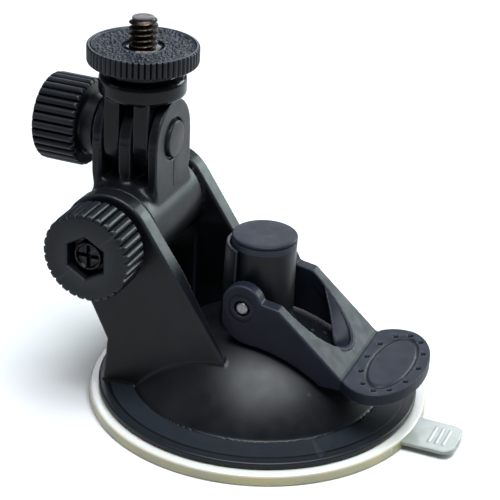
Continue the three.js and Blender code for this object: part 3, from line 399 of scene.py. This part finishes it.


# Each plastic's second colour lightens its sharp edges, partly as rubbing and partly as a painted
# highlight.
BLACK = plastic("black_plastic", (0.0030, 0.0036, 0.0048), (0.021, 0.027, 0.034), 0.38, 0.19)
SLATE = plastic("slate_plastic", (0.0050, 0.0062, 0.0115), (0.030, 0.038, 0.052), 0.45, 0.13)
GLOSS = plastic("glossy_black", (0.0025, 0.0031, 0.0042), (0.014, 0.018, 0.022), 0.2, 0.16, grain=0.12)
GRAIN = plastic("grained_rubber", (0.0045, 0.0055, 0.0085), (0.055, 0.065, 0.085), 0.45, 0.2, grain=0.4)
STEEL = metal("turned_steel", (0.17, 0.165, 0.17), (0.29, 0.28, 0.29), 0.45)
BRONZE = metal("dark_bronze", (0.013, 0.011, 0.0105), (0.055, 0.042, 0.034), 0.34)
BLACKENED = metal("blackened_steel", (0.010, 0.010, 0.012), (0.035, 0.034, 0.036), 0.36)
GEL = gel()
FILM = clear_film()


# ---- Suction pad and tab --------------------------------------------------------------------

def suction_pad():
    radius, top = PAD_HIGH.x, PAD_HIGH.z
    foot_round, top_round = 0.35, 0.6
    rows = [(0, 0), (radius - 0.3, 0), *turn_arc(radius - foot_round, foot_round, foot_round, -90, 0),
            *turn_arc(radius - 0.7, top - top_round, top_round, 0, 90), (radius - 1.6, top),
            (radius - 3.2, top), (0, top)]
    return polar("suction_pad.visual", rows, 256)


def pull_tab():
    return moulded("pull_tab.visual", "pull_tab", 0.14, 5)


# ---- Base: dome, skirt, fork and guide ------------------------------------------------------

SKIRT_FOOT = 28.2  # radius at which the dome stands on the skirt
DOME_SPHERE = 34.0
DOME_TOP = 20.0
COVER_HOLE = 7.55  # radius of the cover's opening round the plunger
COVER_ROWS = 60
HAIR = 0.03
BASE_SEGMENTS = 256


def dome_height(r):
    return DOME_TOP - DOME_SPHERE + math.sqrt(DOME_SPHERE ** 2 - r ** 2)


def dome_cover():
    """Closed shell, 1 mm deep, that follows the dome exactly, a hair above the faceted solid."""
    radii = np.linspace(SKIRT_FOOT, COVER_HOLE, COVER_ROWS)
    outer = [(r, dome_height(r) + HAIR) for r in radii]
    under = [(r, dome_height(r) - 1) for r in radii[::-1]]
    return polar("dome_cover", outer + under, BASE_SEGMENTS, loop=True)


def base_skirt():
    """Flat skirt round the dome, with its rounded rim, a fine groove and a step at its foot."""
    edge, low = HOUSING_HIGH.x, HOUSING_LOW.z
    inner = 27.9
    rim_round = 0.5
    groove_floor, step_floor = low + 1.2, low + 1.6
    rows = [(inner, low + 0.1), (edge - 0.2, low + 0.02),
            *turn_arc(edge - rim_round, low + 0.9, rim_round, 0, 90),
            (edge - 1.9, low + 1.45), (edge - 2.1, groove_floor), (edge - 2.35, groove_floor),
            (edge - 2.55, low + 1.48), (SKIRT_FOOT + 0.9, low + 1.95), (SKIRT_FOOT + 0.5, step_floor),
            (SKIRT_FOOT - 0.1, step_floor), (inner, low + 1.4)]
    return polar("base_skirt", rows, BASE_SEGMENTS, loop=True)


def base_body():
    return moulded("base_body", "base_housing", 0.32, 4, [dome_cover()])


# ---- Lock lever -----------------------------------------------------------------------------

PADDLE_TOP = 15.9
PADDLE_FROM = 23  # the reliefs on top lie past this x
PADDLE_CENTRE = 31.4
PADDLE_DIMPLES = 12
DIMPLE_RING = (5.9, 13.2)  # half axes of the oval that the dimples stand on
DIMPLE_RADIUS, DIMPLE_DEPTH = 0.66, 0.9
OVAL = (4.5, 11.6)  # half axes of the grooved oval
OVAL_DEPTH = 0.42
FOLD_LINE_X, FOLD_DEPTH = 24.1, 0.22
CHEEK_FACES_FROM = 11.8  # the cheeks' outer faces lie past this y
PIN_RING_RADIUS, PIN_RING_DEPTH = 3.1, 0.15
PIN_RING_END = 6  # the ring is only cut up to this x
LINE_WIDTH = 0.5


def lever_relief(points):
    """Dimples, oval groove and fold line in the paddle, and a ring round the pin's ends."""
    x, y, z = points.T
    sink = np.zeros(len(points))
    for i in range(PADDLE_DIMPLES):
        a = 2 * math.pi * i / PADDLE_DIMPLES
        d = np.hypot(x - PADDLE_CENTRE - DIMPLE_RING[0] * math.cos(a), y - DIMPLE_RING[1] * math.sin(a))
        sink = np.maximum(sink, DIMPLE_DEPTH * np.clip(1 - (d / DIMPLE_RADIUS) ** 2, 0, 1))
    from_oval = np.abs(np.hypot((x - PADDLE_CENTRE) / OVAL[0], y / OVAL[1]) - 1) * OVAL[0]
    sink = np.maximum(sink, OVAL_DEPTH * groove(from_oval, LINE_WIDTH))
    sink = np.maximum(sink, FOLD_DEPTH * groove(np.abs(x - FOLD_LINE_X), LINE_WIDTH))
    shift = np.zeros_like(points)
    shift[:, 2] = -sink * ((z > PADDLE_TOP - 0.6) & (x > PADDLE_FROM))
    near_pin = (np.abs(y) > CHEEK_FACES_FROM) & (x < PIN_RING_END)
    ring = groove(np.abs(np.hypot(x - PIN.x, z - PIN.z) - PIN_RING_RADIUS), LINE_WIDTH)
    shift[:, 1] = -np.sign(y) * PIN_RING_DEPTH * ring * near_pin
    return shift


def slot_scoop():
    """Hollowed ledge inside the far end of the lever's slot, widest past the slot's tip."""
    slot_centre, reach, half = 8.0, 13.2, 9.3
    slope_from, slope_top, slope = 8.4, PIN.z + 1.6, 0.862
    widest, narrowest = 3.8, 0.05
    in_wall = 0.8  # how far the ledge reaches into the lever
    dip = 0.35  # how far its edge hangs, as a share of its width
    verts = []
    turns = np.radians(np.linspace(-22, 74, 40))
    last = len(turns) - 1
    for i, t in enumerate(turns):
        width = widest * math.sin(math.pi * (i / last)) ** 0.8 + narrowest
        away = Vector((math.cos(t) / reach, math.sin(t) / half)).normalized()
        edge = Vector((slot_centre + reach * math.cos(t), half * math.sin(t)))
        wall = edge + in_wall * away
        inner = edge - width * away
        top = slope_top - slope * (edge.x - slope_from) - 0.25
        low = top - dip * width
        verts += [(wall.x, wall.y, top), (inner.x, inner.y, low), (inner.x, inner.y, low - 0.8),
                  (wall.x, wall.y, top - 1.9)]
    faces = []
    for i in range(last):
        for k in range(4):
            a, b = 4 * i + k, 4 * i + (k + 1) % 4
            faces.append((a, a + 4, b + 4, b))
    faces += [(0, 1, 2, 3), (4 * last + 3, 4 * last + 2, 4 * last + 1, 4 * last)]
    return new_piece("slot_scoop", verts, faces)


def lock_lever():
    piece = moulded("lock_lever.visual", "lock_lever", 0.22, 4, [slot_scoop()])
    carve(piece, lever_relief)
    return piece


# ---- Plunger cap, arm and head --------------------------------------------------------------

COLUMN_HALF = 7.8  # half width of the arm's column along X
COLUMN_FRONT = 9  # half depth of the column along Y
BARREL_RADIUS = 10.2
ARM_LINE_WIDTH = 0.4
PARTING_DEPTH, SEAM_DEPTH = 0.18, 0.2
SEAMS = (-5.7, 5.7)  # places of the seams, from the upper pivot
FLANGE_HEIGHT = 4.6
FLANGE_ROUND = 1.13


def plunger_cap():
    """Cap whose skirt hides the plunger's upper edge, with one groove under its rounded rim."""
    radius, top = CAP_HIGH.x, CAP_HIGH.z
    skirt = radius - 0.05
    skirt_low = top - 2.3
    groove_floor = skirt - 0.25
    rim_round = 0.5
    rows = [(0, skirt_low), (skirt, skirt_low), (skirt, top - 0.85), (groove_floor, top - 0.75),
            (groove_floor, top - 0.62), (radius, top - 0.55),
            *turn_arc(radius - rim_round, top - rim_round, rim_round, 0, 70),
            (radius - 1.6, top - 0.05), (0, top - 0.02)]
    return polar("plunger_cap.visual", rows, 160)


def plunger_body():
    return moulded("plunger.visual", "plunger", 0.24, 3)


def arm_relief(points):
    """Parting line and seams on the arm's faces."""
    x, y, z = points.T
    shift = np.zeros_like(points)
    side = x > UPPER_PIVOT.x + COLUMN_HALF - 0.6
    below_bolt = z < UPPER_BOLT_LOW.z - 1
    column = (z > LOWER_PIVOT.z + 7.5) & (np.abs(y) < COLUMN_FRONT)
    shift[:, 0] = -PARTING_DEPTH * groove(np.abs(y), ARM_LINE_WIDTH) * (side & below_bolt & column)
    front = (np.abs(y) > COLUMN_FRONT - 0.3) & (z > LOWER_PIVOT.z + 11) & (z < UPPER_PIVOT.z - 2)
    seams = sum(groove(np.abs(x - UPPER_PIVOT.x - s), ARM_LINE_WIDTH) for s in SEAMS)
    shift[:, 1] = -np.sign(y) * SEAM_DEPTH * seams * front
    return shift


def arm_foot(points):
    """1 where the column meets the barrel, fading out round it."""
    x, y, z = points.T
    off_barrel = np.hypot(x - LOWER_PIVOT.x, z - LOWER_PIVOT.z) - BARREL_RADIUS
    off_side = np.abs(x - LOWER_PIVOT.x) - COLUMN_HALF
    near_side = np.exp(-(np.hypot(off_barrel, off_side) / 1.9) ** 2)
    near_front = np.exp(-(np.hypot(off_barrel, np.abs(y) - COLUMN_FRONT) / 1.5) ** 2)
    above = (z > LOWER_PIVOT.z + 3) & (np.abs(y) < COLUMN_FRONT + 2)
    return np.maximum(near_side * (np.abs(y) < COLUMN_FRONT + 0.5), near_front) * above


def arm_body():
    piece = moulded("arm.visual", "arm", 0.24, 4)
    soften(piece, arm_foot, 60)
    carve(piece, arm_relief)
    return piece


def camera_head():
    """Two prongs under a round flange with a glossy rounded rim, and a short neck."""
    flange_low = UPPER_PIVOT.z + 9.4
    flange_top = flange_low + FLANGE_HEIGHT
    underside = flange_low + 1.4
    radius = (HEAD_HIGH.x - HEAD_LOW.x) / 2
    rim = radius - 1.15
    rows = [(0, underside), (radius - 2, underside), *turn_arc(rim, underside, FLANGE_ROUND, -60, 0),
            *turn_arc(rim, flange_top - 1.2, FLANGE_ROUND, 0, 90), (0, flange_top)]
    flange = polar("flange", rows, 192, centre=HEAD_AXIS)
    return moulded("camera_head.visual", "camera_head", 0.22, 3, [flange])


# ---- Thumb ring, grip pad and camera screw --------------------------------------------------

RING_FLUTES = 60
RING_BORE = 3.48
RING_ROUND = 0.7
RING_RIM_ROUND = 0.45
NUT_WELL = 8  # across the flats of the hexagonal well that the screw's collar sits in
GRIP_BORE = 4.75
GRIP_ROWS = 64
COLLAR = 7.2  # across the flats
COLLAR_TOP = 6.6  # the same, at its bevelled top
SCREW_RADIUS = 6.35 / 2
PITCH = 25.4 / 20
THREAD_DEPTH = 0.62 * PITCH
ROWS_PER_TURN = 16


def thumb_ring():
    """Fluted ring with a recess for the grip pad and a hexagonal well under it."""
    radius = (RING_HIGH.x - RING_LOW.x) / 2
    low, top = RING_LOW.z, RING_HIGH.z
    recess = radius - 0.9
    recess_floor, well_floor = top - 0.9, top - 2.5
    rows = [(RING_BORE, low), (radius - 1, low),
            *turn_arc(radius - RING_ROUND, low + RING_ROUND, RING_ROUND, -90, 0),
            *turn_arc(radius - RING_RIM_ROUND, top - RING_RIM_ROUND, RING_RIM_ROUND, 0, 90),
            (recess + 0.2, top), (recess, top - 0.2), (recess, recess_floor),
            (hexagon(NUT_WELL), recess_floor), (hexagon(NUT_WELL), well_floor), (RING_BORE, well_floor)]
    cut = fluted(rows, radius, RING_FLUTES, 0.42, 0.17)
    return polar("thumb_ring.visual", cut, RING_FLUTES * 10, centre=HEAD_AXIS, loop=True)


def grip_pad():
    """Soft ring with a leather-like grain pressed into its top."""
    outer = (GRIP_HIGH.x - GRIP_LOW.x) / 2
    low, top = GRIP_LOW.z, GRIP_HIGH.z
    radii = np.linspace(outer - 0.35, GRIP_BORE + 0.3, GRIP_ROWS)
    rows = [(GRIP_BORE, low), (outer, low), (outer, top - 0.4), (outer - 0.1, top - 0.15),
            *[(r, top - 0.06) for r in radii], (GRIP_BORE, top - 0.35)]
    piece = polar("grip_pad.visual", rows, 480, centre=HEAD_AXIS, loop=True)
    cells = bpy.data.textures.new("grip_cells", "VORONOI")
    cells.noise_scale = 1.05 * MM
    cells.distance_metric = "DISTANCE"
    cells.weight_1 = -1
    cells.weight_2 = 1
    cells.noise_intensity = 2.2
    top_only = piece.vertex_groups.new(name="top")
    chosen = [v.index for v in piece.data.vertices if v.co.z > (top - 0.1) * MM]
    top_only.add(chosen, 1, "REPLACE")
    press = piece.modifiers.new("grain", "DISPLACE")
    press.texture = cells
    press.texture_coords = "LOCAL"
    press.direction = "Z"
    press.mid_level = 1
    press.strength = 0.6 * MM
    press.vertex_group = "top"
    final_mesh(piece)
    return piece


def threaded(height, top):
    """Radius of a helical V thread as a function of the angle. It runs out at the top."""
    def shape(angle):
        phase = (height / PITCH - angle / (2 * math.pi)) % 1
        ridge = np.clip(1.25 * (1 - np.abs(2 * phase - 1)) - 0.1, 0, 1)
        fade = min(1, max(0, top - height))
        return SCREW_RADIUS - THREAD_DEPTH * (1 - ridge * fade)
    return shape


def camera_screw():
    """Round threaded stud with a helical V thread, standing on a hexagonal collar."""
    low, top = SCREW_LOW.z, SCREW_HIGH.z
    collar_high = GRIP_LOW.z + 0.1
    collar_low = collar_high - 1.9
    core = SCREW_RADIUS - THREAD_DEPTH
    shank = SCREW_RADIUS - 0.1
    heights = np.arange(collar_high, top - 0.05, PITCH / ROWS_PER_TURN)
    rows = [(0, low), (shank, low), (shank, collar_low), (hexagon(COLLAR), collar_low),
            (hexagon(COLLAR), collar_high - 0.3), (hexagon(COLLAR_TOP), collar_high), (core, collar_high),
            *[(threaded(h, top), h) for h in heights], (core - 0.35, top), (0, top)]
    return polar("camera_screw.visual", rows, 96, centre=HEAD_AXIS)


# ---- Knobs and bolts ------------------------------------------------------------------------

KNOB_FLUTES = 30
KNOB_SEGMENTS = KNOB_FLUTES * 14
FLUTE_DEPTH, FLUTE_WIDTH = 1.05, 0.15
KNOB_HUB_RADIUS = 7
INNER_ROUND, OUTER_ROUND = 0.9, 1.1  # of a knob's two rims
SHANK_RADIUS = 2.4


def knob_rims(radius, foot, length):
    """Rows of a knob's side, from its inner rim at the foot to its outer rim."""
    return [*turn_arc(radius - INNER_ROUND, foot + INNER_ROUND, INNER_ROUND, -90, 0),
            *turn_arc(radius - OUTER_ROUND, length - OUTER_ROUND, OUTER_ROUND, 0, 90)]


def upper_knob():
    """Fluted knob with a hub towards the arm and a shallow dish in its closed end."""
    radius = (UPPER_KNOB_HIGH.z - UPPER_KNOB_LOW.z) / 2
    length = UPPER_KNOB_HIGH.x - UPPER_KNOB_LOW.x
    hub = 3
    dish = length - 0.25
    rows = [(0, 0), (KNOB_HUB_RADIUS, 0), (KNOB_HUB_RADIUS, hub - 0.4), (KNOB_HUB_RADIUS + 0.3, hub),
            (radius - 1.1, hub), *knob_rims(radius, hub, length), (radius - 2.2, length),
            (radius - 2.5, dish), (radius - 2.8, dish), (0, length - 0.1)]
    cut = fluted(rows, radius, KNOB_FLUTES, FLUTE_DEPTH, FLUTE_WIDTH)
    at = (UPPER_KNOB_HIGH.x, 0, UPPER_PIVOT.z)
    return polar("upper_knob.visual", cut, KNOB_SEGMENTS, centre=at, direction=(-1, 0, 0))


def lower_knob():
    """Fluted knob with a hexagonal recess in its outer end."""
    radius = (LOWER_KNOB_HIGH.z - LOWER_KNOB_LOW.z) / 2
    length = LOWER_KNOB_HIGH.y - LOWER_KNOB_LOW.y
    foot = 0.6
    bore = 2.7
    recess, mouth = hexagon(8.6), hexagon(9.3)
    recess_floor = length - 4.2
    rows = [(bore, 0), (KNOB_HUB_RADIUS, 0), (KNOB_HUB_RADIUS, 0.5), (radius - 1.1, foot),
            *knob_rims(radius, foot, length), (radius - 2.2, length), (mouth, length),
            (recess, length - 0.35), (recess, recess_floor), (bore, recess_floor)]
    cut = fluted(rows, radius, KNOB_FLUTES, FLUTE_DEPTH, FLUTE_WIDTH)
    at = (LOWER_PIVOT.x, LOWER_KNOB_HIGH.y, LOWER_PIVOT.z)
    return polar("lower_knob.visual", cut, KNOB_SEGMENTS, centre=at, direction=(0, -1, 0), loop=True)


def upper_bolt_head():
    """Low round head with a softened edge, on its plain shank."""
    end, top = UPPER_BOLT_LOW.x, UPPER_BOLT_HIGH.x
    head_low = top - 1.3
    head_radius, head_round = 4.2, 0.5
    rows = [(0, end), (SHANK_RADIUS - 0.3, end), (SHANK_RADIUS, end + 0.3), (SHANK_RADIUS, head_low),
            (head_radius, head_low),
            *turn_arc(head_radius - head_round, top - head_round, head_round, 0, 90), (0, top)]
    return polar("upper_bolt.visual", rows, 128, centre=(0, 0, UPPER_PIVOT.z), direction=(1, 0, 0))


def lower_bolt():
    """Thin hexagonal head at the floor of the knob's recess, with a dished round end that
    carries a cross."""
    shank_end, head = -LOWER_BOLT_HIGH.y, -LOWER_BOLT_LOW.y - 2.9
    end = -LOWER_BOLT_LOW.y - 0.9
    head_low = head - 0.9
    head_shape = hexagon(7.9)
    end_radius = 3.25
    dish = 0.5
    cross_half_width, cross_depth = 0.42, 1.1

    def cross(r):
        def height(angle):
            across = np.minimum(np.abs(r * np.sin(angle)), np.abs(r * np.cos(angle)))
            return end - dish - cross_depth * (across < cross_half_width)
        return height

    rows = [(0, shank_end), (SHANK_RADIUS, shank_end), (SHANK_RADIUS, head_low), (head_shape, head_low),
            (head_shape, head), (end_radius, head), (end_radius, end - 0.25), (end_radius - 0.2, end),
            (2.7, end), *[(r, cross(r)) for r in np.linspace(2.4, 0.3, 14)],
            (0, end - dish - cross_depth)]
    at = (LOWER_PIVOT.x, 0, LOWER_PIVOT.z)
    return polar("lower_bolt.visual", rows, 192, centre=at, direction=(0, -1, 0))


# ---- Put together ---------------------------------------------------------------------------

place(suction_pad(), "mount_base", "gel", GEL, "suction_pad")
place(pull_tab(), "mount_base", "clear_film", FILM, "pull_tab")
place(base_body(), "mount_base", "black_plastic", BLACK, "base_housing")
place(base_skirt(), "mount_base", "black_plastic", BLACK, "base_housing")
place(plunger_body(), "plunger", "black_plastic", BLACK, "plunger")
place(plunger_cap(), "plunger", "slate_plastic", SLATE, "plunger_cap")
place(lock_lever(), "lever", "slate_plastic", SLATE, "lock_lever")
place(arm_body(), "arm", "black_plastic", BLACK, "arm")
place(upper_bolt_head(), "arm", "black_plastic", BLACK, "upper_bolt")
place(camera_head(), "camera_head", "black_plastic", GLOSS, "camera_head")
place(thumb_ring(), "thumb_ring", "black_plastic", BLACK, "thumb_ring")
place(grip_pad(), "thumb_ring", "soft_black", GRAIN, "grip_pad")
place(camera_screw(), "thumb_ring", "dark_bronze", BRONZE, "camera_screw")
place(upper_knob(), "upper_knob", "black_plastic", BLACK, "upper_knob")
place(lower_knob(), "lower_knob", "black_plastic", BLACK, "lower_knob")
place(lower_bolt(), "lower_knob", "dark_bronze", BLACKENED, "lower_bolt")
place(moulded("lever_pin.visual", "lever_pin", 0.12, 3), "plunger", "steel", STEEL, "lever_pin")

CAD_FINISHES = {
    "cup_membrane": GRAIN, "release_spring": STEEL, "cup_screw": STEEL, "retaining_clip": STEEL,
    "upper_washer": STEEL, "upper_nut": STEEL, "lower_washer": STEEL, "lower_nut": STEEL,
}
for node_name, finish in CAD_FINISHES.items():
    for material_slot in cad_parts[node_name].material_slots:
        material_slot.material = finish


# ---- Floor, light and camera ----------------------------------------------------------------

FLOOR_HALF = 2000
FLOOR_Z = -0.05
AIM = (0, 0, 0.04)
LIGHTS = [  # name, place, width, height, watts, colour
    ("overhead", (0.08, -0.08, 0.62), 0.5, 0.42, 9.9, (0.9, 0.95, 1)),
    ("right", (0.3, 0.5, 0.24), 0.3, 0.25, 3.4, (0.86, 1, 0.98)),
    ("back", (-0.2, 0.55, 0.32), 0.4, 0.25, 1.3, (0.85, 0.9, 1)),
    ("left", (-0.6, -0.35, 0.3), 0.25, 0.4, 0.35, (0.9, 0.95, 1)),
]
CAMERA_PLACE = (0.1181, -0.3143, 0.2034)
CAMERA_HEADING, CAMERA_PITCH, CAMERA_ROLL = 21.13, 26.48, 2.74  # degrees
CAMERA_LENS, CAMERA_SENSOR = 122.4, 36


def pale_floor():
    corners = [(-1, -1), (1, -1), (1, 1), (-1, 1)]
    verts = [(FLOOR_HALF * x, FLOOR_HALF * y, FLOOR_Z) for x, y in corners]
    floor = new_piece("floor", verts, [(0, 1, 2, 3)])
    material, _, bsdf = shader("pale_floor")
    bsdf.inputs["Base Color"].default_value = (0.58, 0.58, 0.58, 1)
    bsdf.inputs["Roughness"].default_value = 0.9
    bsdf.inputs["Specular IOR Level"].default_value = 0.1
    floor.data.materials.append(material)


def area_light(name, at, width, height, power, colour):
    """Rectangular light that points at the middle of the mount."""
    data = bpy.data.lights.new(name, "AREA")
    data.shape = "RECTANGLE"
    data.size = width
    data.size_y = height
    data.energy = power
    data.color = colour
    lamp = bpy.data.objects.new(name, data)
    lamp.location = at
    lamp.rotation_euler = (Vector(AIM) - Vector(at)).to_track_quat("-Z", "Y").to_euler()
    bpy.context.scene.collection.objects.link(lamp)


def studio():
    for light in LIGHTS:
        area_light(*light)
    world = bpy.data.worlds.new("studio")
    world.use_nodes = True
    sky = world.node_tree.nodes["Background"]
    sky.inputs["Color"].default_value = (0.95, 0.97, 1, 1)
    sky.inputs["Strength"].default_value = 0.10
    bpy.context.scene.world = world
    bpy.context.scene.view_settings.view_transform = "Standard"


def photo_camera():
    """Camera at the photograph's viewing angle."""
    data = bpy.data.cameras.new("camera")
    data.lens = CAMERA_LENS
    data.sensor_width = CAMERA_SENSOR
    camera = bpy.data.objects.new("camera", data)
    heading, pitch, roll = (math.radians(a) for a in (CAMERA_HEADING, CAMERA_PITCH, CAMERA_ROLL))
    turn = Matrix.Rotation(heading, 4, "Z") @ Matrix.Rotation(math.pi / 2 - pitch, 4, "X")
    camera.matrix_world = Matrix.Translation(CAMERA_PLACE) @ turn @ Matrix.Rotation(roll, 4, "Z")
    bpy.context.scene.collection.objects.link(camera)
    bpy.context.scene.camera = camera


pale_floor()
studio()
photo_camera()
